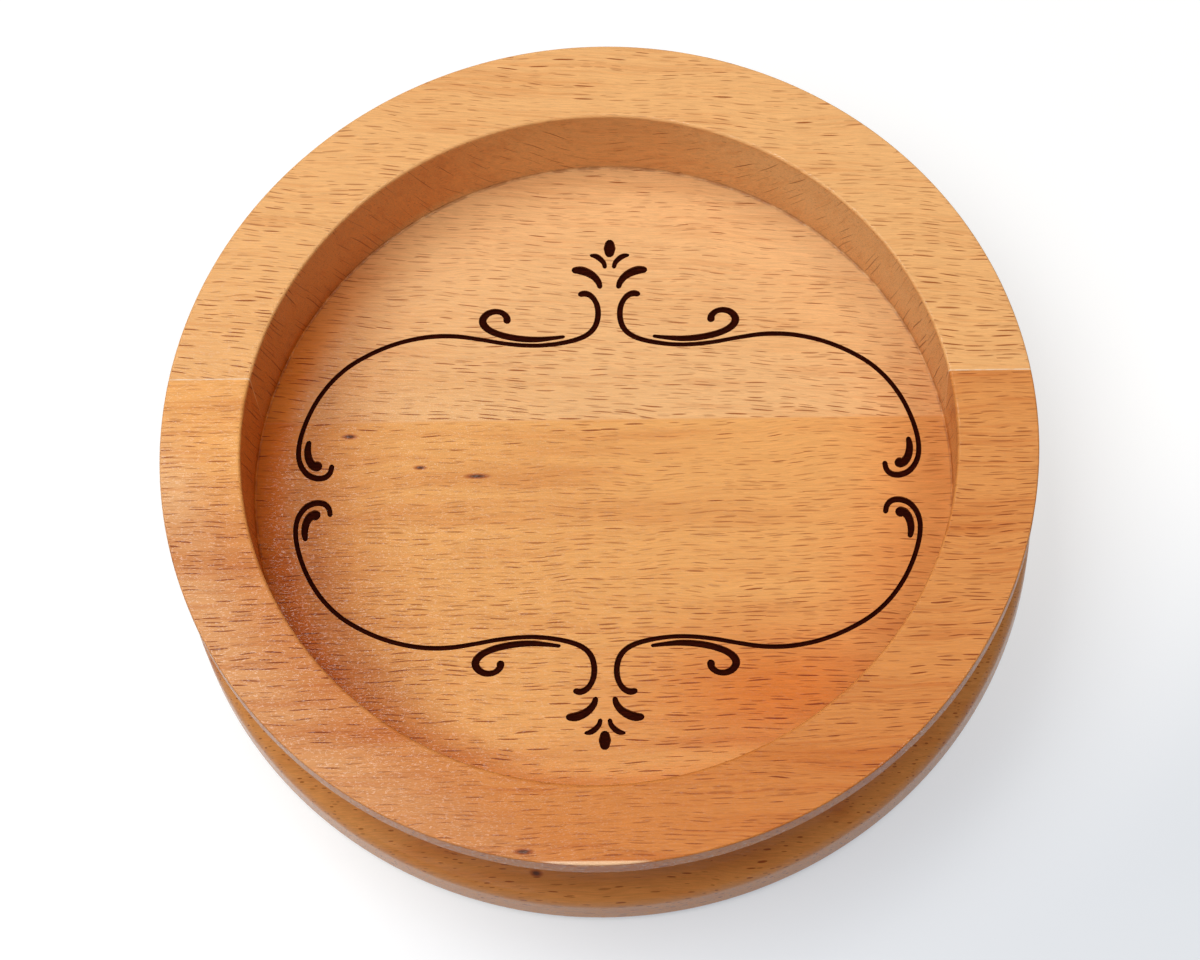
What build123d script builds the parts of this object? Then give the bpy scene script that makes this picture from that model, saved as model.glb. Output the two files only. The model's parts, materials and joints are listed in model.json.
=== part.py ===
"""Bottle coaster turned from two edge-glued boards, with a felt disc let into its underside.

The origin is on the turning axis, on the table under the felt. +Z is up, +X runs along the grain and
+Y points away from the side that the coaster is usually seen from. All sizes are in millimetres.
"""

import os

from build123d import *

os.makedirs("parts", exist_ok=True)

# Recess for the bottle
recess_diameter = 106.0
recess_depth = 18.0
floor_corner_round = 0.5

# Rim and side, from the rim down: a straight lip, a hollow cove and a straight base band
rim_width = 12.0
lip_height = 4.0
cove_height = 17.5
cove_depth = 5.0
band_height = 8.0
rim_inner_round = 1.0
rim_outer_round = 0.3
lip_under_round = 0.8
cove_arris_round = 3.0
foot_round = 1.6

# Glue joint between the two boards, behind the turning axis
seam_offset = 10.5
glue_thickness = 0.2

# Felt disc in its seat, standing a little proud of the wood
felt_margin = 12.0
felt_thickness = 2.0
felt_proud = 0.5
felt_clearance = 0.4
felt_edge_round = 0.4
adhesive_thickness = 0.2

# Radii of the turning
recess_radius = recess_diameter / 2
outer_radius = recess_radius + rim_width
seat_radius = outer_radius - felt_margin
felt_radius = seat_radius - felt_clearance

# Heights above the table
seat_z = felt_thickness + adhesive_thickness
foot_z = felt_proud
band_top_z = foot_z + band_height
lip_bottom_z = band_top_z + cove_height
cove_middle_z = (band_top_z + lip_bottom_z) / 2
rim_z = lip_bottom_z + lip_height
floor_z = rim_z - recess_depth

# Planes of the glue joint, square to +Y
glue_front = Plane.ZX.offset(seam_offset - glue_thickness / 2)
glue_back = Plane.ZX.offset(seam_offset + glue_thickness / 2)

# Half section of the turning, from the felt seat round the side and the rim to the recess floor
with BuildSketch(Plane.XZ) as half_section:
    with BuildLine():
        Polyline(
            (0, seat_z),
            (seat_radius, seat_z),
            (seat_radius, foot_z),
            (outer_radius, foot_z),
            (outer_radius, band_top_z),
        )
        ThreePointArc(
            (outer_radius, band_top_z),
            (outer_radius - cove_depth, cove_middle_z),
            (outer_radius, lip_bottom_z),
        )
        Polyline(
            (outer_radius, lip_bottom_z),
            (outer_radius, rim_z),
            (recess_radius, rim_z),
            (recess_radius, floor_z),
            (0, floor_z),
            (0, seat_z),
        )
    make_face()
    rounds = (
        ((recess_radius, rim_z), rim_inner_round),
        ((outer_radius, rim_z), rim_outer_round),
        ((outer_radius, lip_bottom_z), lip_under_round),
        ((outer_radius, band_top_z), cove_arris_round),
        ((outer_radius, foot_z), foot_round),
        ((recess_radius, floor_z), floor_corner_round),
    )
    for corner, radius in rounds:
        fillet(half_section.vertices().sort_by_distance(corner)[0], radius)

# The paler board, behind the glue joint
with BuildPart() as back_stave:
    revolve(half_section.sketch, axis=Axis.Z)
    split(bisect_by=glue_back, keep=Keep.TOP)
back_stave.part.label = "back_stave"

# The redder board, in front of the glue joint
with BuildPart() as front_stave:
    revolve(half_section.sketch, axis=Axis.Z)
    split(bisect_by=glue_front, keep=Keep.BOTTOM)
front_stave.part.label = "front_stave"

# The glue film, turned flush with both boards
with BuildPart() as glue_line:
    revolve(half_section.sketch, axis=Axis.Z)
    split(bisect_by=glue_front, keep=Keep.TOP)
    split(bisect_by=glue_back, keep=Keep.BOTTOM)
glue_line.part.label = "glue_line"

# The adhesive film between the felt and the top of its seat
with BuildPart() as felt_adhesive:
    with BuildSketch(Plane.XY.offset(felt_thickness)):
        Circle(felt_radius)
    extrude(amount=adhesive_thickness)
felt_adhesive.part.label = "felt_adhesive"

# The felt disc, with its lower edge worn round
with BuildPart() as base_felt:
    with BuildSketch(Plane.XY):
        Circle(felt_radius)
    extrude(amount=felt_thickness)
    fillet(base_felt.faces().sort_by(Axis.Z)[0].edges(), felt_edge_round)
base_felt.part.label = "base_felt"

for piece in (back_stave, front_stave, glue_line, felt_adhesive, base_felt):
    export_step(piece.part, f"parts/{piece.part.label}.step")
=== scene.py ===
"""Bottle coaster turned from two edge-glued beech boards, with an engraved scroll frame and a felt base."""

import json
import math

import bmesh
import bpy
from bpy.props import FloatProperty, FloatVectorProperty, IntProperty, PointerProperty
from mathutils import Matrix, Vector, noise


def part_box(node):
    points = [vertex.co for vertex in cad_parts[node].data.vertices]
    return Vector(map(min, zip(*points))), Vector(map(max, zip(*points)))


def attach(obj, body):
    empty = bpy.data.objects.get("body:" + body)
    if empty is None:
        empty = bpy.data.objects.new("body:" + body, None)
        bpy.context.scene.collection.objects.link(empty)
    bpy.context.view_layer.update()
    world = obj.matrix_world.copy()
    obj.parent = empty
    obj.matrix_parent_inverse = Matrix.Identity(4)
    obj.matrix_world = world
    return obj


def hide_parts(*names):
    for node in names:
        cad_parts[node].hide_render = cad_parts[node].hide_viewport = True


bl_info = {
    "name": "Turned bottle coaster",
    "version": (1, 0, 0),
    "blender": (4, 5, 0),
    "location": "View3D > Sidebar > Coaster",
    "description": "Builds a turned beech bottle coaster on its measured frame",
    "category": "Object",
}

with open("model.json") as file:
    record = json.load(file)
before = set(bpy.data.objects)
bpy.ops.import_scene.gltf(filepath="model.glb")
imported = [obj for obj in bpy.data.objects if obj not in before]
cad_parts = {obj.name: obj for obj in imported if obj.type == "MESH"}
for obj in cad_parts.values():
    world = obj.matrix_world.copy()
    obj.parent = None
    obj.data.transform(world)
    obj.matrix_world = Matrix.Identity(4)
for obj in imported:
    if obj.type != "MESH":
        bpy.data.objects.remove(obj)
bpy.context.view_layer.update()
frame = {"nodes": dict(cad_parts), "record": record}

MM = 0.001

MOUNTS = {mount["name"]: mount for mount in frame["record"]["mounts"]}
BOARD_LOW, BOARD_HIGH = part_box("front_stave")
GLUE_LOW, GLUE_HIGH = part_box("glue_line")
FELT_LOW, FELT_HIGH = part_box("base_felt")

OUTER_RADIUS = BOARD_HIGH[0]
FOOT_Z = BOARD_LOW[2]
RIM_Z = BOARD_HIGH[2]
SEAT_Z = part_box("felt_adhesive")[1][2]
FLOOR_Z = MOUNTS["bottle_seat"]["pos_m"][2]
RECESS_RADIUS = MOUNTS["bottle_recess"]["dims"]["r_mm"] * MM

# Strokes of one quarter of the scroll frame, as (x, y, width) in millimetres from the middle of the frame
FRAME_LINE = (
    (4.38, 32.22, 0.85), (3.73, 32.32, 0.95), (2.88, 31.97, 0.85), (2.19, 31.12, 0.75), (1.76, 29.92, 0.8),
    (1.70, 28.43, 0.8), (2.06, 26.94, 0.78), (2.91, 25.75, 0.75), (4.37, 24.85, 0.72), (6.67, 24.17, 0.66),
    (9.68, 23.73, 0.6), (12.68, 23.70, 0.6), (16.17, 24.07, 0.58), (19.67, 24.73, 0.58), (23.17, 25.27, 0.64),
    (26.17, 25.35, 0.66), (29.17, 25.03, 0.64), (32.67, 24.15, 0.62), (36.18, 22.68, 0.62),
    (39.69, 20.55, 0.62), (42.41, 17.97, 0.6), (44.50, 15.0, 0.6), (46.0, 11.82, 0.6), (46.95, 8.64, 0.64),
    (47.2, 6.04, 0.68), (46.78, 4.15, 0.74), (45.75, 2.69, 0.84), (44.37, 2.03, 0.9), (43.08, 2.13, 0.85),
    (42.29, 2.87, 0.75), (42.03, 3.92, 0.7),
)
CURLED_SCROLL = (
    (6.97, 25.10, 0.45), (8.67, 24.88, 0.6), (11.17, 24.68, 0.86), (13.67, 24.84, 0.96), (16.17, 25.34, 0.98),
    (18.16, 26.14, 1.0), (19.26, 27.13, 1.1), (19.43, 28.12, 1.1), (18.75, 29.02, 1.0), (17.65, 29.41, 0.88),
    (16.55, 29.21, 0.82), (15.83, 28.55, 0.95), (15.70, 27.90, 1.1),
)
SIDE_COMMA = (
    (45.66, 7.84, 0.7), (45.81, 6.94, 0.92), (45.77, 5.94, 1.05), (45.48, 4.89, 1.15), (44.93, 4.14, 1.35),
    (44.33, 3.98, 1.65),
)
LARGE_LEAF = (
    (1.45, 33.46, 0.72), (1.67, 34.21, 0.9), (2.32, 35.11, 1.08), (3.31, 35.82, 1.28), (4.41, 36.22, 1.35),
    (5.31, 36.28, 1.05),
)
SMALL_LEAF = (
    (0.71, 36.79, 0.58), (0.88, 37.45, 0.66), (1.40, 38.10, 0.78), (2.10, 38.60, 0.78), (2.85, 38.76, 0.42),
)
BUD = ((0.0, 39.15, 1.45), (0.0, 39.9, 1.8), (0.0, 40.65, 1.45))

# Pin knots of the front board, a pale streak that the front edge of its rim just reaches, and a redder patch
# on the right of the recess floor, each as its place and its half sizes in millimetres
PIN_KNOTS = (
    ((-38.7, 8.2, FLOOR_Z / MM), (1.6, 0.6, 4.0)),
    ((-27.8, 3.0, FLOOR_Z / MM), (1.4, 0.5, 4.0)),
    ((-19.1, 1.5, FLOOR_Z / MM), (2.6, 0.6, 4.0)),
    ((-10.3, -62.9, RIM_Z / MM), (1.9, 0.6, 1.2)),
    ((-9.5, -60.9, FOOT_Z / MM + 11.2), (1.3, 1.2, 0.9)),
)
PALE_STREAK = ((5.0, -65.5, RIM_Z / MM), (90.0, 1.25, 0.25))
RED_PATCH = ((27.0, -33.0, FLOOR_Z / MM), (34.0, 15.0, 4.0))

# What red streaks and the halo of a pin knot take from the wood, and the painted sheen on the back right of
# the wall, the painted shade on the inner and the painted sheen on the outer front left of the rim, the
# painted shade on the floor along the foot of the wall at the front left, and the painted shade in the cove
STREAK_TINT = (0.80, 0.60, 0.46, 1.0)
HALO_TINT = (0.62, 0.42, 0.36, 1.0)
WALL_SHEEN_TINT = (1.06, 1.24, 1.42, 1.0)
INNER_RIM_SHADE_TINT = (0.88, 0.82, 0.88, 1.0)
OUTER_RIM_SHEEN_TINT = (0.98, 1.12, 1.62, 1.0)
FOOT_SHADE_TINT = (0.86, 0.75, 0.66, 1.0)
COVE_SHADE_TINT = (0.95, 0.84, 0.75, 1.0)

# The figure of each board, as lacquered_beech takes it
BACK_FIGURE = {
    "offset": (7.0, 31.0, 12.0), "fleck_share": 0.75, "lean": 0.0,
    "heart": ((-65.0, 0.0), (-40.0, 0.0), (-10.0, 0.1)), "streaks": (0.35, 0.4),
    # Painted sheen on the back board's floor
    "floor_shade_and_sheen_tint": (0.97, 1.04, 1.17, 1.0),
}
FRONT_FIGURE = {
    "offset": (20.0, 17.0, 3.0), "fleck_share": 0.88, "lean": 0.2,
    "heart": ((-12.0, 0.0), (4.0, 0.22), (40.0, 0.27), (58.0, 0.38)), "streaks": (0.3, 0.6),
    # Painted shade on the front board's floor
    "floor_shade_and_sheen_tint": (0.94, 0.97, 0.99, 1.0), "knots": PIN_KNOTS, "pale_streak": PALE_STREAK,
}

# Middle and turn of the scroll frame on the recess floor
FRAME_MIDDLE = (0.7 * MM, -0.8 * MM)
FRAME_TURN = math.radians(-0.3)

# How far the burn reaches beyond a drawn stroke on each side, how wide the bottom of a stroke is as a share
# of its top, and how far a cutter stands above the wood
BURNT_MARGIN = 0.08 * MM
BOTTOM_SHARE = 0.58
CUTTER_CLEARANCE = 0.05 * MM

WHITE = (1.0, 1.0, 1.0, 1.0)


def length(name, description, default):
    """A size in metres for a property group."""
    return FloatProperty(
        name=name, description=description, default=default, min=0.0, precision=5,
        subtype="DISTANCE", unit="LENGTH",
    )


def colour(name, description, default):
    """A colour for a property group."""
    return FloatVectorProperty(
        name=name, description=description, default=default, size=3, min=0.0, max=1.0, subtype="COLOR",
    )


def angle(name, description, degrees):
    """An angle for a property group, its default given in degrees."""
    return FloatProperty(
        name=name, description=description, default=math.radians(degrees), subtype="ANGLE", unit="ROTATION",
    )


def amount(name, description, default, unit="NONE"):
    """A number from zero up for a property group."""
    return FloatProperty(name=name, description=description, default=default, min=0.0, unit=unit)


class CoasterSizes(bpy.types.PropertyGroup):
    """Sizes of the turning, the engraving and the felt."""

    lip_height: length("Lip height", "Straight lip under the rim", 4.0 * MM)
    cove_height: length("Cove height", "Hollow between the lip and the base band", 17.5 * MM)
    cove_depth: length("Cove depth", "How far the hollow goes in", 5.0 * MM)
    rim_inner_round: length("Inner rim round", "Round where the rim meets the wall", 0.5 * MM)
    rim_outer_round: length("Outer rim round", "Round on the outside of the rim", 0.3 * MM)
    lip_under_round: length("Round under the lip", "Softened edge under the lip", 0.8 * MM)
    cove_arris_round: length("Cove arris round", "Round on top of the base band", 3.0 * MM)
    foot_round: length("Foot round", "Round at the foot of the base band", 1.6 * MM)
    floor_corner_round: length("Floor corner round", "Round where the wall meets the floor", 0.3 * MM)
    felt_clearance: length("Felt clearance", "Gap round the felt in its seat", 0.4 * MM)
    engraving_depth: length("Engraving depth", "Depth of the engraved strokes", 0.4 * MM)
    engraving_step: length("Engraving step", "Distance between the sections of a stroke", 0.16 * MM)
    segments: IntProperty(name="Segments", description="Faces round the turning", default=288, min=48)


class CoasterLooks(bpy.types.PropertyGroup):
    """Colours of the wood, the engraving, the glue and the felt."""

    back_pale: colour("Back board, pale", "Pale wood of the back board", (0.81, 0.43, 0.166))
    back_deep: colour("Back board, deep", "Darker bands of the back board", (0.75, 0.365, 0.125))
    front_pale: colour("Front board, pale", "Pale wood of the front board", (0.82, 0.395, 0.122))
    front_deep: colour("Front board, deep", "Redder bands of the front board", (0.57, 0.175, 0.032))
    fleck_tint: colour("Ray fleck tint", "What a ray fleck takes from the wood", (0.41, 0.215, 0.11))
    end_tint: colour("End grain tint", "What end grain takes from the wood", (0.92, 0.87, 0.82))
    # The shade tint and the corner shade tint are painted shade on the recess floor and its walls
    shade_tint: colour("Shade tint", "What the left of the floor takes from the wood", (0.67, 0.48, 0.33))
    corner_shade_tint: colour("Corner tint", "What pooled lacquer takes from the wood", (0.82, 0.42, 0.105))
    sapwood: colour("Sapwood", "Pale streak at the front of the rim", (0.84, 0.52, 0.30))
    knot: colour("Pin knot", "Core of a pin knot", (0.11, 0.034, 0.014))
    char: colour("Char", "Burnt wood in the strokes", (0.020, 0.0024, 0.0008))
    scorch: colour("Scorch", "Browned edges of the strokes", (0.13, 0.032, 0.009))
    glue: colour("Glue", "Dried glue between the boards", (0.80, 0.56, 0.36))
    felt: colour("Felt", "Wool of the base disc", (0.055, 0.034, 0.023))
    adhesive: colour("Adhesive", "Film that holds the felt", (0.55, 0.48, 0.36))
    table: colour("Table", "Table top under the coaster", (0.40, 0.405, 0.41))
    # Painted shade on the table towards the front right
    front_table_shade: colour("Front table", "How the table's white fades towards the front", (0.50, 0.55, 0.62))
    back_grain: angle("Back grain turn", "Turn of the grain of the back board", -4.0)
    front_grain: angle("Front grain turn", "Turn of the grain of the front board", 0.5)
    ray_tilt: angle("Ray tilt", "Lean of the wood rays in the boards", -13.0)


class CoasterStage(bpy.types.PropertyGroup):
    """The camera and the light."""

    azimuth: angle("Azimuth", "Camera round the coaster, from the front", 6.599)
    elevation: angle("Elevation", "Camera above the table", 68.704)
    roll: angle("Roll", "Turn of the camera on its own axis", -6.814)
    distance: length("Distance", "Camera from the point it looks at", 0.620)
    aim: FloatVectorProperty(
        name="Aim", description="Point the camera looks at", default=(0.0003, -0.0055, 0.0279),
        size=3, precision=5, subtype="XYZ", unit="LENGTH",
    )
    lens: amount("Lens", "Focal length in millimetres", 126.0, "CAMERA")
    softbox_power: amount("Softbox power", "Light of the softbox", 15.6, "POWER")
    side_power: amount("Side power", "Light of the softbox on the right", 5.0, "POWER")
    front_power: amount("Front power", "Light of the low softbox in front", 1.3, "POWER")
    fill: amount("Fill", "Strength of the room's light", 0.16)
    room: colour("Room", "Colour of the room's light", (1.0, 0.90, 0.76))
    table_glow: amount("Table glow", "White that the camera adds to the table", 0.6)


# Shapes


def arc(middle, radius, start, end, steps):
    """Points of an arc in the half section, its angles given in degrees."""
    points = []
    for step in range(steps + 1):
        turn = math.radians(start + (end - start) * step / steps)
        points.append((middle[0] + radius * math.cos(turn), middle[1] + radius * math.sin(turn)))
    return points


def cove_points(sizes):
    """The hollow of the side with its softened edges, from the base band up to the lip."""
    lip_z = RIM_Z - sizes.lip_height
    middle_z = lip_z - sizes.cove_height / 2
    radius = (sizes.cove_height**2 / 4 + sizes.cove_depth**2) / (2 * sizes.cove_depth)
    out = radius - sizes.cove_depth
    middle = (OUTER_RADIUS + out, middle_z)

    def edge(soft):
        """Height of an edge round's middle from the cove's, and its turn where it meets the cove."""
        rise = math.sqrt((radius + soft) ** 2 - (out + soft) ** 2)
        return rise, math.degrees(math.atan2(rise, out + soft))

    low_rise, low_turn = edge(sizes.cove_arris_round)
    high_rise, high_turn = edge(sizes.lip_under_round)
    low = (OUTER_RADIUS - sizes.cove_arris_round, middle_z - low_rise)
    high = (OUTER_RADIUS - sizes.lip_under_round, middle_z + high_rise)
    points = arc(low, sizes.cove_arris_round, 0, low_turn, 8)
    points += arc(middle, radius, 180 + low_turn, 180 - high_turn, 40)[1:-1]
    points += arc(high, sizes.lip_under_round, -high_turn, 0, 4)
    return points


def half_section(sizes):
    """The half section of the turning, from the felt seat round the side and rim to the recess floor."""
    seat_radius = FELT_HIGH[0] + sizes.felt_clearance
    foot, outer = sizes.foot_round, sizes.rim_outer_round
    inner, corner = sizes.rim_inner_round, sizes.floor_corner_round
    points = [(seat_radius, SEAT_Z), (seat_radius, FOOT_Z)]
    points += arc((OUTER_RADIUS - foot, FOOT_Z + foot), foot, -90, 0, 10)
    points += cove_points(sizes)
    points += arc((OUTER_RADIUS - outer, RIM_Z - outer), outer, 0, 90, 6)
    points += arc((RECESS_RADIUS + inner, RIM_Z - inner), inner, 90, 180, 8)
    points += arc((RECESS_RADIUS - corner, FLOOR_Z + corner), corner, 0, -90, 6)
    return with_holding_loops(points + [(RECESS_RADIUS - 3 * MM, FLOOR_Z)])


def with_holding_loops(points, near=0.08 * MM, shortest=1.2 * MM):
    """The same points, with two more near the ends of each long straight run, so that it shades flat."""
    held = [points[0]]
    for start, end in zip(points, points[1:]):
        run = math.dist(start, end)
        if run > shortest:
            for part in (near / run, 1 - near / run):
                held.append(tuple(a + (b - a) * part for a, b in zip(start, end)))
        held.append(end)
    return held


def turned(section, around, worn=None):
    """A closed bmesh turned from (radius, height) points. worn, if given, moves each vertex."""
    shape = bmesh.new()
    rings = []
    for radius, height in section:
        ring = []
        for step in range(around):
            turn = math.tau * step / around
            spot = Vector((radius * math.cos(turn), radius * math.sin(turn), height))
            ring.append(shape.verts.new(worn(spot, height) if worn else spot))
        rings.append(ring)
    for lower, upper in zip(rings, rings[1:]):
        for step in range(around):
            after = (step + 1) % around
            shape.faces.new((lower[step], lower[after], upper[after], upper[step]))
    shape.faces.new(rings[0][::-1])
    shape.faces.new(rings[-1])
    bmesh.ops.recalc_face_normals(shape, faces=shape.faces)
    return shape


def as_mesh(shape, name):
    """A mesh of this name from a bmesh, which is freed."""
    mesh = bpy.data.meshes.new(name)
    shape.to_mesh(mesh)
    shape.free()
    return mesh


def part_at(shape, y, side):
    """Takes off what lies beyond a plane square to +Y and closes the cut."""
    geometry = shape.verts[:] + shape.edges[:] + shape.faces[:]
    cut = bmesh.ops.bisect_plane(
        shape, geom=geometry, dist=1e-7, plane_co=(0, y, 0), plane_no=(0, side, 0), clear_outer=True,
    )
    edges = [item for item in cut["geom_cut"] if isinstance(item, bmesh.types.BMEdge)]
    bmesh.ops.contextual_create(shape, geom=edges)


def add_piece(name, mesh):
    """A new object at the origin with this mesh."""
    piece = bpy.data.objects.new(name, mesh)
    bpy.context.scene.collection.objects.link(piece)
    return piece


def plain_mesh(piece, name):
    """The evaluated mesh of an object, as a mesh of its own."""
    graph = bpy.context.evaluated_depsgraph_get()
    mesh = bpy.data.meshes.new_from_object(piece.evaluated_get(graph), depsgraph=graph)
    mesh.name = name
    return mesh


def drawn_strokes(name, strokes):
    """Curves through the points of the strokes, each made longer by half its width at both ends."""
    curve = bpy.data.curves.new(name, "CURVE")
    curve.dimensions = "3D"
    for stroke in strokes:
        points = [Vector(point) for point in stroke]
        for end, after in ((0, 1), (-1, -2)):
            away = (points[end].xy - points[after].xy).normalized() * points[end].z / 2
            points.insert(0 if end == 0 else len(points), points[end] + away.to_3d())
        spline = curve.splines.new("POLY")
        spline.points.add(len(points) - 1)
        for spot, point in zip(spline.points, points):
            spot.co = (point.x * MM, point.y * MM, 0.0, 1.0)
            spot.radius = point.z / 2 * MM + BURNT_MARGIN
    return add_piece(name, curve)


# Node helpers


def set_sockets(tree, node, inputs):
    """Gives a node's inputs their values, or links them from other sockets."""
    for name, value in inputs.items():
        if isinstance(value, bpy.types.NodeSocket):
            tree.links.new(value, node.inputs[name])
        else:
            node.inputs[name].default_value = value


def add_node(tree, kind, inputs=None, **settings):
    """A new node with its settings and its inputs."""
    node = tree.nodes.new(kind)
    for name, value in settings.items():
        setattr(node, name, value)
    set_sockets(tree, node, inputs or {})
    return node


def maths(tree, operation, first, *others, clamp=False):
    """The result socket of Math nodes that take in the values one after the other."""
    for other in others or (0.0,):
        inputs = {0: first, 1: other}
        first = add_node(tree, "ShaderNodeMath", inputs, operation=operation, use_clamp=clamp).outputs[0]
    return first


def product(tree, *values):
    """The socket of values multiplied with each other."""
    return maths(tree, "MULTIPLY", *values)


def largest(tree, *values):
    """The socket of the largest of some values."""
    return maths(tree, "MAXIMUM", *values)


def inverse(tree, mask):
    """The socket of what a mask leaves out."""
    return maths(tree, "SUBTRACT", 1.0, mask)


def vectors(tree, operation, first, second=(0.0, 0.0, 0.0), output="Vector"):
    """The result socket of a Vector Math node."""
    return add_node(tree, "ShaderNodeVectorMath", {0: first, 1: second}, operation=operation).outputs[output]


def magnitude(tree, vector):
    """The socket of a vector's length."""
    return vectors(tree, "LENGTH", vector, output="Value")


def xyz(tree, vector):
    """The X, Y and Z sockets of a vector."""
    return add_node(tree, "ShaderNodeSeparateXYZ", {0: vector}).outputs


def from_xyz(tree, **parts):
    """The socket of the vector with these X, Y and Z."""
    return add_node(tree, "ShaderNodeCombineXYZ", parts).outputs[0]


def rotated(tree, vector, turn, axis="Z_AXIS", invert=False):
    """The socket of a vector turned about an axis."""
    inputs = {"Vector": vector, "Angle": turn}
    return add_node(tree, "ShaderNodeVectorRotate", inputs, rotation_type=axis, invert=invert).outputs[0]


def mixed(tree, factor, first, second, blend="MIX"):
    """The result socket of a colour Mix node."""
    inputs = {0: factor, 6: first, 7: second}
    return add_node(tree, "ShaderNodeMix", inputs, data_type="RGBA", blend_type=blend).outputs[2]


def between(tree, value, low, high, to_low=0.0, to_high=1.0):
    """The result socket of a smooth Map Range node."""
    inputs = {"Value": value, "From Min": low, "From Max": high, "To Min": to_low, "To Max": to_high}
    return add_node(tree, "ShaderNodeMapRange", inputs, interpolation_type="SMOOTHSTEP").outputs[0]


def clouds(tree, place, cell, detail=2.0, roughness=0.5):
    """The value socket of a noise whose clouds are about cell = (x, y, z) large."""
    stretched = vectors(tree, "DIVIDE", place, cell)
    inputs = {"Vector": stretched, "Scale": 1.0, "Detail": detail, "Roughness": roughness}
    return add_node(tree, "ShaderNodeTexNoise", inputs).outputs["Fac"]


def tinted(tree, base, *tints):
    """A colour multiplied by each tint, as far as its mask goes."""
    for mask, tint in tints:
        base = mixed(tree, mask, base, mixed(tree, 1.0, base, tint, "MULTIPLY"))
    return base


def object_spot(tree):
    """The socket of a spot's place on the object, in metres."""
    return tree.nodes.new("ShaderNodeTexCoord").outputs["Object"]


def in_millimetres(tree, spot):
    """The socket of a place in millimetres."""
    return add_node(tree, "ShaderNodeVectorMath", {0: spot, "Scale": 1 / MM}, operation="SCALE").outputs[0]


def rgba(shade, times=1.0):
    """A colour property with its alpha, made lighter or darker."""
    return (*(min(1.0, part * times) for part in shade), 1.0)


def new_group(name, kind, inputs, outputs):
    """A node group with these named sockets, and its input and output nodes."""
    tree = bpy.data.node_groups.new(name, kind)
    for in_out, sockets in (("INPUT", inputs), ("OUTPUT", outputs)):
        for label, socket in sockets.items():
            tree.interface.new_socket(label, in_out=in_out, socket_type=f"NodeSocket{socket}")
    return tree, tree.nodes.new("NodeGroupInput").outputs, tree.nodes.new("NodeGroupOutput").inputs


# Engraving


def scroll_cutter_tree():
    """Geometry nodes that sweep the drawn strokes into cutters and repeat them round the scroll frame."""
    tree, given, result = new_group(
        "scroll_cutter", "GeometryNodeTree",
        {
            "Strokes": "Geometry", "Step": "Float", "Bottom Share": "Float", "Depth": "Float",
            "Clearance": "Float", "Left and Right": "Bool", "Middle": "Vector", "Turn": "Vector",
        },
        {"Cutter": "Geometry"},
    )
    smooth = add_node(
        tree, "GeometryNodeCurveSplineType", {"Curve": given["Strokes"]}, spline_type="CATMULL_ROM",
    )
    even = add_node(
        tree, "GeometryNodeResampleCurve", {"Curve": smooth.outputs[0], "Length": given["Step"]},
        mode="LENGTH",
    )
    # Round ends: the radius falls off over its own length before each end
    along = tree.nodes.new("GeometryNodeSplineParameter").outputs["Length"]
    whole = tree.nodes.new("GeometryNodeSplineLength").outputs["Length"]
    radius = tree.nodes.new("GeometryNodeInputRadius").outputs[0]
    nearest_end = maths(tree, "MINIMUM", along, maths(tree, "SUBTRACT", whole, along))
    inward = maths(tree, "DIVIDE", nearest_end, radius, clamp=True)
    fall = maths(tree, "SQRT", inverse(tree, maths(tree, "POWER", inverse(tree, inward), 2.0)))
    rounded = product(tree, radius, largest(tree, fall, 0.3))
    upright = add_node(tree, "GeometryNodeSetCurveNormal", {"Curve": even.outputs[0]}, mode="Z_UP")
    section = add_node(
        tree, "GeometryNodeCurvePrimitiveQuadrilateral",
        {"Top Width": product(tree, given["Bottom Share"], 2.0), "Bottom Width": 2.0,
         "Height": 2.0, "Offset": 0.0},
        mode="TRAPEZOID",
    )
    swept = add_node(
        tree, "GeometryNodeCurveToMesh",
        {"Curve": upright.outputs[0], "Profile Curve": section.outputs[0], "Scale": rounded,
         "Fill Caps": True},
    )
    # The upper side goes just above the wood and the lower side to the depth of the engraving
    split = xyz(tree, tree.nodes.new("GeometryNodeInputPosition").outputs[0])
    upper = maths(tree, "GREATER_THAN", split["Z"], 0.0)
    span = maths(tree, "ADD", given["Clearance"], given["Depth"])
    height = maths(tree, "SUBTRACT", product(tree, upper, span), given["Depth"])
    levelled = from_xyz(tree, X=split["X"], Y=split["Y"], Z=height)
    cutter = add_node(
        tree, "GeometryNodeSetPosition", {"Geometry": swept.outputs[0], "Position": levelled},
    ).outputs[0]
    for scale in ((-1.0, 1.0, 1.0), (1.0, -1.0, 1.0)):
        turned_over = add_node(tree, "GeometryNodeTransform", {"Geometry": cutter, "Scale": scale})
        flipped = add_node(tree, "GeometryNodeFlipFaces", {0: turned_over.outputs[0]})
        both = tree.nodes.new("GeometryNodeJoinGeometry")
        for part in (cutter, flipped.outputs[0]):
            tree.links.new(part, both.inputs[0])
        if scale[0] < 0:
            inputs = {"Switch": given["Left and Right"], "False": cutter, "True": both.outputs[0]}
            cutter = add_node(tree, "GeometryNodeSwitch", inputs, input_type="GEOMETRY").outputs[0]
        else:
            cutter = both.outputs[0]
    turn = add_node(tree, "FunctionNodeEulerToRotation", {0: given["Turn"]})
    set_down = add_node(
        tree, "GeometryNodeTransform",
        {"Geometry": cutter, "Translation": given["Middle"], "Rotation": turn.outputs[0]},
    )
    tree.links.new(set_down.outputs[0], result["Cutter"])
    return tree


def set_inputs(modifier, values):
    """Sets a geometry nodes modifier's inputs by the names of its sockets."""
    for item in modifier.node_group.interface.items_tree:
        if item.item_type == "SOCKET" and item.in_out == "INPUT" and item.name in values:
            modifier[item.identifier] = values[item.name]


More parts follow.
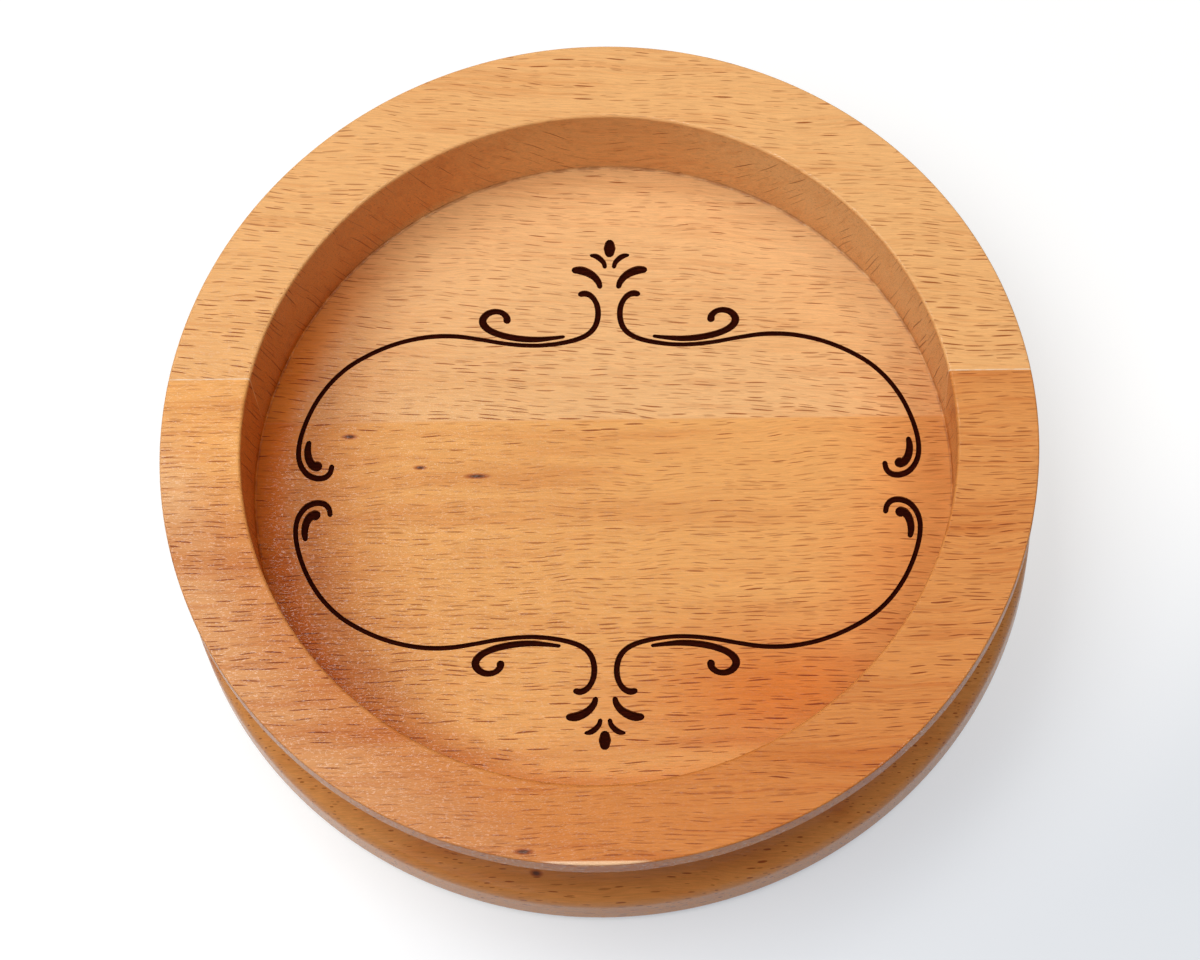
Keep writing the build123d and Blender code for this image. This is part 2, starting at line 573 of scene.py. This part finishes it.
def scroll_cutter(sizes, material):
    """One mesh of closed cutters for the whole scroll frame."""
    kept = bpy.data.meshes.get("scroll_cutter")
    if kept:
        return kept
    tree = scroll_cutter_tree()
    whole = bmesh.new()
    groups = (
        ("quarter_strokes", (FRAME_LINE, CURLED_SCROLL, SIDE_COMMA, LARGE_LEAF, SMALL_LEAF), True),
        ("middle_strokes", (BUD,), False),
    )
    for name, strokes, left_and_right in groups:
        drawn = drawn_strokes(name, strokes)
        modifier = drawn.modifiers.new("scroll_cutter", "NODES")
        modifier.node_group = tree
        set_inputs(modifier, {
            "Step": sizes.engraving_step, "Bottom Share": BOTTOM_SHARE, "Depth": sizes.engraving_depth,
            "Clearance": CUTTER_CLEARANCE, "Left and Right": left_and_right,
            "Middle": (*FRAME_MIDDLE, FLOOR_Z), "Turn": (0.0, 0.0, FRAME_TURN),
        })
        mesh = plain_mesh(drawn, name)
        whole.from_mesh(mesh)
        bpy.data.objects.remove(drawn)
        bpy.data.meshes.remove(mesh)
    bmesh.ops.recalc_face_normals(whole, faces=whole.faces)
    cutter = as_mesh(whole, "scroll_cutter")
    cutter.materials.append(material)
    return cutter


def engraved_piece(name, sizes, wood, char, low=None, high=None):
    """The part of the turning between two planes square to +Y, with its share of the engraving."""
    shape = turned(half_section(sizes), sizes.segments)
    for y, side in ((low, -1), (high, 1)):
        if y is not None:
            part_at(shape, y, side)
    blank = as_mesh(shape, name)
    blank.materials.append(wood)
    piece = add_piece(name, blank)
    cutter = add_piece("cutter", scroll_cutter(sizes, char))
    modifier = piece.modifiers.new("engrave", "BOOLEAN")
    modifier.operation = "DIFFERENCE"
    modifier.solver = "EXACT"
    modifier.use_self = True
    modifier.material_mode = "TRANSFER"
    modifier.object = cutter
    engraved = plain_mesh(piece, name)
    piece.modifiers.remove(modifier)
    piece.data = engraved
    bpy.data.objects.remove(cutter)
    bpy.data.meshes.remove(blank)
    engraved.name = name
    engraved.shade_smooth()
    engraved.set_sharp_from_angle(angle=math.radians(30))
    return piece


# Finishes


def fleck_layer(tree, place, cell, share, half_size):
    """A mask of spindle-shaped flecks, one to a cell in a share of the cells, up to half_size each way."""
    stretched = vectors(tree, "DIVIDE", place, cell)
    inputs = {"Vector": stretched, "Scale": 1.0, "Randomness": 0.65}
    cells = add_node(tree, "ShaderNodeTexVoronoi", inputs).outputs
    chance = xyz(tree, cells["Color"])
    kept = maths(tree, "LESS_THAN", chance["X"], share)
    size = between(tree, chance["Y"], 0.0, 1.0, 0.6, 1.0)
    shift = vectors(tree, "MULTIPLY", vectors(tree, "SUBTRACT", stretched, cells["Position"]), cell)
    away = magnitude(tree, vectors(tree, "DIVIDE", shift, half_size))
    spindle = between(tree, maths(tree, "DIVIDE", away, size), 1.0, 0.7)
    depth = between(tree, chance["Z"], 0.0, 1.0, 0.45, 1.0)
    return product(tree, spindle, depth, kept)


def beech_group():
    """Shader nodes for solid beech: growth bands, ray flecks, fibres and end grain."""
    tree, given, result = new_group(
        "beech_figure", "ShaderNodeTree",
        {
            "Pale": "Color", "Deep": "Color", "Fleck Tint": "Color", "End Tint": "Color",
            "Grain Turn": "Float", "Ray Tilt": "Float", "Offset": "Vector", "Fleck Share": "Float",
            "Heart": "Float", "Streaks": "Float", "Side": "Float",
        },
        {"Color": "Color", "Roughness": "Float", "Height": "Float", "Glint": "Float"},
    )
    along = rotated(tree, in_millimetres(tree, object_spot(tree)), given["Grain Turn"], invert=True)
    place = vectors(tree, "ADD", rotated(tree, along, given["Ray Tilt"], "X_AXIS"), given["Offset"])
    # The grain wanders a little from side to side
    wander = maths(tree, "SUBTRACT", clouds(tree, place, (22.0, 8.0, 40.0)), 0.5)
    grain = vectors(tree, "ADD", place, from_xyz(tree, Y=product(tree, wander, 3.2)))

    bands = clouds(tree, grain, (70.0, 6.5, 9.0), 3.0)
    tone = maths(tree, "ADD", between(tree, bands, 0.48, 0.88, 0.0, 0.75), given["Heart"], clamp=True)
    base = mixed(tree, tone, given["Pale"], given["Deep"])
    # Reddish streaks along the grain, then finer fibres
    lines = clouds(tree, grain, (13.0, 0.42, 3.0), 2.0)
    broad = clouds(tree, grain, (34.0, 2.2, 6.0), 2.0)
    streaks = between(tree, maths(tree, "ADD", lines, product(tree, broad, 0.7)), 0.82, 1.12)
    streaks = maths(tree, "MULTIPLY", streaks, given["Streaks"], clamp=True)
    base = tinted(tree, base, (streaks, STREAK_TINT))
    fibres = clouds(tree, grain, (3.6, 0.17, 0.9), 3.0, 0.62)
    base = mixed(tree, 1.0, base, between(tree, fibres, 0.25, 0.75, 0.89, 1.10), "MULTIPLY")

    # Rays run deep into the board, so the side and the rounded edges show only their short ends
    facing = xyz(tree, tree.nodes.new("ShaderNodeNewGeometry").outputs["Normal"])
    rounded = product(tree, *(between(tree, facing["Z"], *slopes) for slopes in ((0.08, 0.25), (0.98, 0.92))))
    cut_short = largest(tree, rounded, given["Side"])
    # A wall that faces the front or the back cuts them at a low angle, so they are thinner there
    thickness = between(tree, maths(tree, "ABSOLUTE", facing["Y"]), 0.2, 0.95, 0.13, 0.045)
    half_size = from_xyz(tree, X=2.2, Y=thickness, Z=9.0)
    long_flecks = fleck_layer(tree, grain, (4.1, 0.72, 15.0), given["Fleck Share"], half_size)
    long_flecks = product(tree, long_flecks, inverse(tree, cut_short))
    short_flecks = fleck_layer(tree, grain, (2.4, 0.6, 0.9), 0.75, (1.2, 0.14, 0.3))
    short_flecks = product(tree, short_flecks, between(tree, given["Side"], 0.0, 1.0, 0.35, 0.9))
    flecks = largest(tree, long_flecks, short_flecks)
    end_grain = between(tree, maths(tree, "ABSOLUTE", facing["X"]), 0.35, 0.95)
    base = tinted(tree, base, (flecks, given["Fleck Tint"]), (end_grain, given["End Tint"]))

    fine = clouds(tree, grain, (0.9, 0.11, 0.5), 2.0, 0.6)
    glints = between(tree, clouds(tree, grain, (0.5, 0.14, 0.3), 1.0), 0.56, 0.67)
    relief = maths(tree, "SUBTRACT", fine, product(tree, flecks, 0.35))
    roughness = between(tree, fibres, 0.2, 0.8, 0.36, 0.5)
    for value, socket in zip((base, roughness, relief, glints), result):
        tree.links.new(value, socket)
    return tree


def new_material(name):
    """A material with its node tree and its Principled shader."""
    material = bpy.data.materials.new(name)
    material.use_nodes = True
    return material, material.node_tree, material.node_tree.nodes["Principled BSDF"]


def bump(tree, shader, height, strength, distance):
    """Sends a height through a Bump node to the shader's normal."""
    inputs = {"Strength": strength, "Distance": distance, "Height": height}
    tree.links.new(add_node(tree, "ShaderNodeBump", inputs).outputs[0], shader.inputs["Normal"])


def reach_from(tree, spot, patch):
    """How far a spot is from a patch, as a share of the patch's half sizes."""
    place, half_sizes = (tuple(value * MM for value in values) for values in patch)
    return magnitude(tree, vectors(tree, "DIVIDE", vectors(tree, "SUBTRACT", spot, place), half_sizes))


def place_parts(tree, spot):
    """The X, Y and Z sockets of a spot, and its distance from the turning axis."""
    parts = xyz(tree, spot)
    return parts, magnitude(tree, from_xyz(tree, X=parts["X"], Y=parts["Y"]))


def reaching(tree, spot, direction, start, full, share=1.0):
    """A mask that grows to a share between two distances in millimetres towards (x, y)."""
    out = vectors(tree, "DOT_PRODUCT", spot, (*direction, 0.0), "Value")
    return between(tree, out, start * MM, full * MM, 0.0, share)


def from_wall(tree, radius, start, full):
    """A mask that grows between two distances in millimetres from the recess wall, outward positive."""
    return between(tree, radius, RECESS_RADIUS + start * MM, RECESS_RADIUS + full * MM)


def above(tree, parts, level, start, full, *shares):
    """A mask that grows between two heights in millimetres above a level."""
    return between(tree, parts["Z"], level + start * MM, level + full * MM, *shares)


def recess_mask(tree, parts, radius):
    """A mask of the recess, from its floor to just below the rim."""
    below_rim = above(tree, parts, RIM_Z, -0.3, -1.2)
    return product(tree, from_wall(tree, radius, 3, 1), above(tree, parts, FLOOR_Z, -3, -1), below_rim)


def painted_recess_shade(tree, spot):
    """Masks of painted shade: on the left of the recess floor, and near its walls and on its left wall, with
    a redder patch of wood.
    """
    parts, radius = place_parts(tree, spot)
    broad, narrow = from_wall(tree, radius, -28, -7), from_wall(tree, radius, -11, -1)
    near = from_wall(tree, radius, -9, -2.5)
    left = product(tree, broad, reaching(tree, spot, (-1.0, -0.12), 20, 47))
    right = product(tree, broad, reaching(tree, spot, (1.0, -0.35), 30, 50, 0.4))
    front = product(tree, narrow, reaching(tree, spot, (-0.8, -1.0), 5, 56, 0.95))
    patch = between(tree, reach_from(tree, spot, RED_PATCH), 1.1, 0.0, 0.0, 0.85)
    # Painted shade near the walls on the left, the right and the front of the floor, and the redder patch of
    # wood
    floor = largest(tree, product(tree, left, near), right, front, patch)
    # Painted shade on the left wall
    back_left = [reaching(tree, spot, (-1.0, -0.25), *reach) for reach in ((-4, 18, 0.55), (36, 54, 0.3))]
    wall = maths(tree, "ADD", *back_left)
    rise = above(tree, parts, FLOOR_Z, 0.5, 3)
    shade_and_red_patch = add_node(tree, "ShaderNodeMix", {0: rise, 2: floor, 3: wall}, data_type="FLOAT").outputs[0]
    shaded = product(tree, left, inverse(tree, near))
    return shaded, product(tree, shade_and_red_patch, recess_mask(tree, parts, radius))


def corner_line(tree, spot):
    """A mask of the broken dark line where the wall of the recess meets its floor."""
    parts, radius = place_parts(tree, spot)
    out = maths(tree, "SUBTRACT", radius, RECESS_RADIUS)
    up = maths(tree, "SUBTRACT", parts["Z"], FLOOR_Z)
    away = magnitude(tree, from_xyz(tree, X=out, Y=up))
    broken = between(tree, clouds(tree, spot, (2.5 * MM,) * 3, 3.0), 0.36, 0.6, 0.1, 0.6)
    return product(tree, broken, between(tree, away, 0.55 * MM, 0.2 * MM))


def heart_share(tree, parts, lean, stops):
    """The share of redder wood across a board, from its (place in mm, share) stops."""
    low, high = stops[0][0], stops[-1][0]
    across = maths(tree, "SUBTRACT", product(tree, parts["X"], lean), parts["Y"])
    inputs = {"Value": across, "From Min": low * MM, "From Max": high * MM}
    share_of_width = add_node(tree, "ShaderNodeMapRange", inputs).outputs[0]
    ramp = add_node(tree, "ShaderNodeValToRGB", {0: share_of_width})
    ramp.color_ramp.interpolation = "EASE"
    elements = ramp.color_ramp.elements
    for number, (place, share) in enumerate(stops):
        element = elements[number] if number < 2 else elements.new(1.0)
        element.position = (place - low) / (high - low)
        element.color = (share, share, share, 1.0)
    return ramp.outputs[0]


def lacquered_beech(
    name, looks, pale, deep, grain_turn, offset, fleck_share, lean, heart, streaks, floor_shade_and_sheen_tint, knots=(),
    pale_streak=None,
):
    """Beech under satin lacquer.

    offset is where the board lies in the figure, lean the lean of the redder wood across it, heart the
    (place in mm, share) stops of that wood from the back to the front, streaks the share of red streaks on
    the recess floor and on the rim, floor_shade_and_sheen_tint the painted shade on the front board's floor
    and the painted sheen on the back board's floor, knots the pin knots, and pale_streak a streak of sapwood.
    """
    material, tree, shader = new_material(name)
    group = bpy.data.node_groups.get("beech_figure") or beech_group()
    spot = object_spot(tree)
    parts, radius = place_parts(tree, spot)
    middle = (RECESS_RADIUS + OUTER_RADIUS) / 2
    side = product(tree, above(tree, parts, RIM_Z, -0.2, -0.6), between(tree, radius, middle - MM, middle))
    # The rim and the side are redder than the recess
    upward = between(tree, parts["Z"], FLOOR_Z + 4 * MM, RIM_Z, 0.45, 2.2)
    redder = largest(tree, upward, product(tree, side, 1.5))
    inputs = {
        "Pale": rgba(pale), "Deep": rgba(deep), "Fleck Tint": rgba(looks.fleck_tint),
        "End Tint": rgba(looks.end_tint), "Grain Turn": grain_turn, "Ray Tilt": looks.ray_tilt,
        "Offset": offset, "Fleck Share": fleck_share, "Side": side,
        "Streaks": between(tree, parts["Z"], FLOOR_Z, RIM_Z, *streaks),
        "Heart": product(tree, heart_share(tree, parts, lean, heart), redder),
    }
    figure = add_node(tree, "ShaderNodeGroup", inputs, node_tree=group).outputs
    base = figure["Color"]
    if pale_streak:
        shows = between(tree, reach_from(tree, spot, pale_streak), 1.0, 0.8)
        base = mixed(tree, shows, base, rgba(looks.sapwood))
    for knot in knots:
        away = reach_from(tree, spot, knot)
        base = tinted(tree, base, (between(tree, away, 1.0, 0.5), HALO_TINT))
        base = mixed(tree, between(tree, away, 0.62, 0.2), base, rgba(looks.knot))
    recess = recess_mask(tree, parts, radius)
    # Painted sheen on the back right of the recess wall
    higher = above(tree, parts, FLOOR_Z, 1, 9, 0.3, 0.9)
    wall_sheen = product(tree, reaching(tree, spot, (1.0, 1.0), 60, 74), higher, recess)
    # Painted shade on the inner half and painted sheen on the outer half of the rim at the front left
    on_rim = above(tree, parts, RIM_Z, -0.5, -0.1)
    sheen = product(tree, reaching(tree, spot, (-0.75, -0.65), 42, 54), on_rim)
    rim_shade_and_sheen_tint = mixed(tree, from_wall(tree, radius, 1, 10), INNER_RIM_SHADE_TINT, OUTER_RIM_SHEEN_TINT)
    # Painted shade on the front board's floor and painted sheen on the back board's floor
    on_floor = product(tree, above(tree, parts, FLOOR_Z, 1, 0.3), recess)
    # Painted shade on the floor along the foot of the wall at the front left
    close = from_wall(tree, radius, -4.5, -0.8)
    foot = product(tree, reaching(tree, spot, (-0.57, -0.82), 42, 47), close, on_floor)
    # Painted shade in the cove
    hollow = product(tree, above(tree, parts, FOOT_Z, 8, 12), above(tree, parts, RIM_Z, -4, -6), side)
    # Painted shade on the recess floor and its walls, with a redder patch of wood on the right of the floor
    shaded, shade_and_red_patch = painted_recess_shade(tree, spot)
    base = tinted(
        tree, base, (wall_sheen, WALL_SHEEN_TINT), (sheen, rim_shade_and_sheen_tint), (on_floor, floor_shade_and_sheen_tint), (foot, FOOT_SHADE_TINT),
        (hollow, COVE_SHADE_TINT), (shaded, rgba(looks.shade_tint)), (shade_and_red_patch, rgba(looks.corner_shade_tint)),
        (corner_line(tree, spot), rgba(looks.fleck_tint)),
    )
    # The base band is glossier than the cove and the lip
    gloss = product(tree, side, above(tree, parts, FOOT_Z, 9, 6, 0.1, 0.4))
    set_sockets(tree, shader, {
        "Base Color": base, "Roughness": figure["Roughness"], "Coat Roughness": 0.2,
        "Coat Weight": largest(tree, figure["Glint"], gloss), "Specular IOR Level": 0.15,
    })
    bump(tree, shader, figure["Height"], 0.6, 0.06 * MM)
    return material


def charred_groove(looks):
    """Burnt wood in the strokes: sooty black-brown on the bottom, scorched brown up the sides."""
    material, tree, shader = new_material("charred_groove")
    spot = object_spot(tree)
    in_mm = in_millimetres(tree, spot)
    soot = clouds(tree, in_mm, (0.9, 0.35, 0.5), 3.0, 0.6)
    passes = clouds(tree, in_mm, (6.0, 0.09, 2.0), 1.0)
    patchy = between(tree, product(tree, soot, passes), 0.2, 0.42, 0.0, 0.5)
    base = mixed(tree, patchy, rgba(looks.char), rgba(looks.char, 3.2))
    edge = above(tree, xyz(tree, spot), FLOOR_Z, -0.3, 0)
    set_sockets(tree, shader, {
        "Base Color": mixed(tree, edge, base, rgba(looks.scorch)),
        "Roughness": between(tree, soot, 0.3, 0.7, 0.55, 0.8), "Specular IOR Level": 0.012,
    })
    bump(tree, shader, maths(tree, "ADD", soot, passes), 0.5, 0.08 * MM)
    return material


def dried_glue(looks):
    """Glue that shows pale and patchy on the rim and the walls, and takes the stain on the floor."""
    material, tree, shader = new_material("dried_glue")
    spot = object_spot(tree)
    raised = between(tree, xyz(tree, spot)["Z"], FLOOR_Z + 0.5 * MM, RIM_Z)
    cloudy = clouds(tree, in_millimetres(tree, spot), (1.6, 1.0, 2.5), 3.0)
    patches = between(tree, cloudy, 0.34, 0.6, 0.45, 1.0)
    shows = product(tree, raised, patches)
    base = mixed(tree, shows, rgba(looks.front_pale, 0.9), rgba(looks.glue))
    # The same painted shade as on the boards, kept off the pale glue where it shows
    shaded, shade_and_red_patch = painted_recess_shade(tree, spot)
    shade_and_red_patch = product(tree, shade_and_red_patch, inverse(tree, shows))
    set_sockets(tree, shader, {
        "Base Color": tinted(
            tree, base, (shaded, rgba(looks.shade_tint)), (shade_and_red_patch, rgba(looks.corner_shade_tint)),
        ),
        "Roughness": between(tree, patches, 0.4, 1.0, 0.5, 0.38),
    })
    bump(tree, shader, patches, 0.2, 0.05 * MM)
    return material


def pressed_felt(looks):
    """Matted wool: crossing fibres in slightly different shades."""
    material, tree, shader = new_material("pressed_felt")
    in_mm = in_millimetres(tree, object_spot(tree))
    fibre = ((1.4, 0.12, 0.4), 3.0, 0.65)
    crossing = [rotated(tree, in_mm, math.radians(turn)) for turn in (62.0, 118.0)]
    strands = largest(tree, *(clouds(tree, place, *fibre) for place in (in_mm, *crossing)))
    matted = product(tree, clouds(tree, in_mm, (5.0, 5.0, 2.0), 2.0), 0.4)
    shade = between(tree, maths(tree, "ADD", strands, matted), 0.6, 1.0)
    set_sockets(tree, shader, {
        "Base Color": mixed(tree, shade, rgba(looks.felt, 0.65), rgba(looks.felt, 1.7)),
        "Roughness": between(tree, strands, 0.4, 0.8, 0.98, 0.85), "Specular IOR Level": 0.15,
        "Sheen Weight": 0.25,
    })
    bump(tree, shader, strands, 0.8, 0.2 * MM)
    return material


def adhesive_film(looks):
    """Clear adhesive gone cloudy, with streaks from the roller."""
    material, tree, shader = new_material("adhesive_film")
    streaks = clouds(tree, in_millimetres(tree, object_spot(tree)), (18.0, 1.5, 5.0), 2.0)
    cloudy = between(tree, streaks, 0.3, 0.7)
    set_sockets(tree, shader, {
        "Base Color": mixed(tree, cloudy, rgba(looks.adhesive), rgba(looks.adhesive, 1.3)),
        "Roughness": between(tree, streaks, 0.3, 0.7, 0.25, 0.4),
    })
    return material


# Operators


class COASTER_OT_boards(bpy.types.Operator):
    """Turns the two boards, engraves the scroll frame and gives them their lacquered beech"""

    bl_idname = "coaster.boards"
    bl_label = "Turn the boards"

    def execute(self, context):
        sizes, looks = context.scene.coaster_sizes, context.scene.coaster_looks
        char = bpy.data.materials.get("charred_groove") or charred_groove(looks)
        pale = lacquered_beech(
            "pale_beech", looks, looks.back_pale, looks.back_deep, looks.back_grain, **BACK_FIGURE,
        )
        red = lacquered_beech(
            "red_beech", looks, looks.front_pale, looks.front_deep, looks.front_grain, **FRONT_FIGURE,
        )
        back = engraved_piece("back_board", sizes, pale, char, low=GLUE_HIGH[1])
        front = engraved_piece("front_board", sizes, red, char, high=GLUE_LOW[1])
        for piece, node, finish in ((back, "back_stave", "pale_beech"), (front, "front_stave", "red_beech")):
            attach(piece, "root")
            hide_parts(node)
        return {"FINISHED"}


class COASTER_OT_glue(bpy.types.Operator):
    """Fills the joint between the boards with a film of dried glue, turned and engraved with them"""

    bl_idname = "coaster.glue"
    bl_label = "Fill the glue joint"

    def execute(self, context):
        sizes, looks = context.scene.coaster_sizes, context.scene.coaster_looks
        char = bpy.data.materials.get("charred_groove") or charred_groove(looks)
        glue = dried_glue(looks)
        film = engraved_piece("glue_film", sizes, glue, char, low=GLUE_LOW[1], high=GLUE_HIGH[1])
        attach(film, "root")
        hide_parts("glue_line")
        return {"FINISHED"}


class COASTER_OT_felt(bpy.types.Operator):
    """Lays the felt disc in its seat and gives the adhesive film its finish"""

    bl_idname = "coaster.felt"
    bl_label = "Lay the felt"

    def execute(self, context):
        looks = context.scene.coaster_looks
        felt = add_piece("felt_disc", felt_mesh("felt_disc"))
        felt.data.materials.append(pressed_felt(looks))
        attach(felt, "root")
        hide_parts("base_felt")
        film = frame["nodes"]["felt_adhesive"]
        film.data.materials.clear()
        film.data.materials.append(adhesive_film(looks))
        return {"FINISHED"}


def felt_mesh(name, around=240, lumps_per_metre=420.0, most_in=0.12 * MM, most_up=0.06 * MM):
    """A disc of felt with a soft lower edge and a slightly uneven underside and rim."""
    radius, top, low = FELT_HIGH[0], FELT_HIGH[2], FELT_LOW[2]
    edge = 0.4 * MM
    section = [(radius * part, low) for part in (0.04, 0.2, 0.36, 0.5, 0.62, 0.72, 0.81, 0.88, 0.94)]
    section += arc((radius - edge, low + edge), edge, -90, 0, 5)
    section += [(radius, low + (top - low) * part) for part in (0.4, 0.6, 0.8)]
    section += [(radius, top), (radius * 0.6, top)]

    def matted(spot, height):
        """The spot moved in by the lumps of the wool, and up on the underside."""
        lumps = 0.5 + 0.5 * noise.noise(Vector((spot.x, spot.y, height * 3)) * lumps_per_metre)
        inward = spot.xy.normalized() * (most_in * lumps if height < top else 0.0)
        lift = most_up * lumps if height < low + edge else 0.0
        return spot.x - inward.x, spot.y - inward.y, height + lift

    mesh = as_mesh(turned(section, around, matted), name)
    mesh.shade_smooth()
    mesh.set_sharp_from_angle(angle=math.radians(60))
    return mesh


class COASTER_OT_stage(bpy.types.Operator):
    """Sets up the pale table, the softbox, the room light and the camera"""

    bl_idname = "coaster.stage"
    bl_label = "Set the stage"

    def execute(self, context):
        stage, looks = context.scene.coaster_stage, context.scene.coaster_looks
        set_table(looks, stage)
        set_light(context, stage)
        set_camera(context, stage)
        context.scene.view_settings.view_transform = "Standard"
        return {"FINISHED"}


def set_table(looks, stage, radius=2.5):
    """A wide pale table top, level with the underside of the felt."""
    shape = bmesh.new()
    bmesh.ops.create_circle(shape, cap_ends=True, segments=96, radius=radius)
    mesh = as_mesh(shape, "table_top")
    material, tree, shader = new_material("table_top")
    spot = object_spot(tree)
    mottle = between(tree, clouds(tree, spot, (0.35, 0.35, 0.35), 2.0), 0.3, 0.7)
    parts = xyz(tree, spot)
    # The camera's white on the table fades towards the front right: painted shade on the table
    toward_front = maths(tree, "SUBTRACT", product(tree, parts["X"], 0.5), parts["Y"])
    fading = between(tree, toward_front, 0.02, 0.10)
    seen = tree.nodes.new("ShaderNodeLightPath").outputs
    direct = largest(tree, *(seen[f"Is {ray} Ray"] for ray in ("Camera", "Glossy", "Transmission")))
    set_sockets(tree, shader, {
        "Base Color": mixed(tree, mottle, rgba(looks.table), rgba(looks.table, 1.03)), "Roughness": 0.35,
        "Emission Color": mixed(tree, fading, WHITE, rgba(looks.front_table_shade)),
        "Emission Strength": product(tree, direct, stage.table_glow),
    })
    mesh.materials.append(material)
    add_piece("table_top", mesh)


def set_light(context, stage):
    """A large softbox high on the left, smaller ones right and in front, and the light of the room."""
    lamps = (
        ("softbox", (-0.56, 0.01, 1.275), (0.92, 1.02), (0.0, 0.0), stage.softbox_power),
        ("side_softbox", (0.55, 0.02, 1.275), (0.50, 0.60), (0.0, 0.0), stage.side_power),
        ("front_softbox", (-0.6, -1.0, 0.55), (0.70, 0.40), (65.0, -31.0), stage.front_power),
    )
    for name, place, size, (tilt, turn), power in lamps:
        lamp = bpy.data.lights.new(name, "AREA")
        lamp.shape = "RECTANGLE"
        lamp.size, lamp.size_y = size
        lamp.energy = power
        softbox = add_piece(name, lamp)
        softbox.location = place
        softbox.rotation_euler = (math.radians(tilt), 0.0, math.radians(turn))
        softbox.visible_camera = False
    world = bpy.data.worlds.new("room")
    world.use_nodes = True
    tree = world.node_tree
    background = tree.nodes["Background"]
    direction = tree.nodes.new("ShaderNodeTexCoord").outputs["Generated"]
    overhead = between(tree, xyz(tree, direction)["Z"], 0.0, 1.0, 0.3 * stage.fill, 1.6 * stage.fill)
    seen = tree.nodes.new("ShaderNodeLightPath").outputs["Is Camera Ray"]
    strength = add_node(tree, "ShaderNodeMix", {0: seen, 2: overhead, 3: 1.0}, data_type="FLOAT")
    shade = mixed(tree, seen, rgba(stage.room), WHITE)
    set_sockets(tree, background, {"Color": shade, "Strength": strength.outputs[0]})
    context.scene.world = world


def set_camera(context, stage):
    """The camera at the photograph's viewing angle."""
    turn, rise, roll = stage.azimuth, stage.elevation, stage.roll
    back = Vector((math.sin(turn) * math.cos(rise), -math.cos(turn) * math.cos(rise), math.sin(rise)))
    right = Vector((math.cos(turn), math.sin(turn), 0.0))
    up = back.cross(right)
    across = right * math.cos(roll) + up * math.sin(roll)
    upward = up * math.cos(roll) - right * math.sin(roll)
    data = bpy.data.cameras.new("camera")
    data.lens = stage.lens
    data.sensor_width = 36.0
    camera = add_piece("camera", data)
    axes = Matrix((across, upward, back)).transposed().to_4x4()
    camera.matrix_world = Matrix.Translation(Vector(stage.aim) + back * stage.distance) @ axes
    context.scene.camera = camera


class COASTER_PT_sidebar(bpy.types.Panel):
    """The coaster's sizes, colours and steps"""

    bl_idname = "COASTER_PT_sidebar"
    bl_label = "Bottle coaster"
    bl_space_type = "VIEW_3D"
    bl_region_type = "UI"
    bl_category = "Coaster"

    def draw(self, context):
        layout = self.layout
        for step in STEPS:
            layout.operator(step.bl_idname)
        for group in (context.scene.coaster_sizes, context.scene.coaster_looks, context.scene.coaster_stage):
            box = layout.box()
            for name in group.__annotations__:
                box.prop(group, name)


STEPS = (COASTER_OT_boards, COASTER_OT_glue, COASTER_OT_felt, COASTER_OT_stage)
CLASSES = (CoasterSizes, CoasterLooks, CoasterStage, *STEPS, COASTER_PT_sidebar)


def register():
    """Registers the classes and hangs the property groups on the scene."""
    for cls in CLASSES:
        bpy.utils.register_class(cls)
    bpy.types.Scene.coaster_sizes = PointerProperty(type=CoasterSizes)
    bpy.types.Scene.coaster_looks = PointerProperty(type=CoasterLooks)
    bpy.types.Scene.coaster_stage = PointerProperty(type=CoasterStage)


def unregister():
    """Takes the property groups off the scene and unregisters the classes."""
    del bpy.types.Scene.coaster_sizes
    del bpy.types.Scene.coaster_looks
    del bpy.types.Scene.coaster_stage
    for cls in reversed(CLASSES):
        bpy.utils.unregister_class(cls)


def main():
    """Builds the coaster piece by piece."""
    register()
    bpy.ops.coaster.boards()
    bpy.ops.coaster.glue()
    bpy.ops.coaster.felt()
    bpy.ops.coaster.stage()


if __name__ == "__main__":
    main()
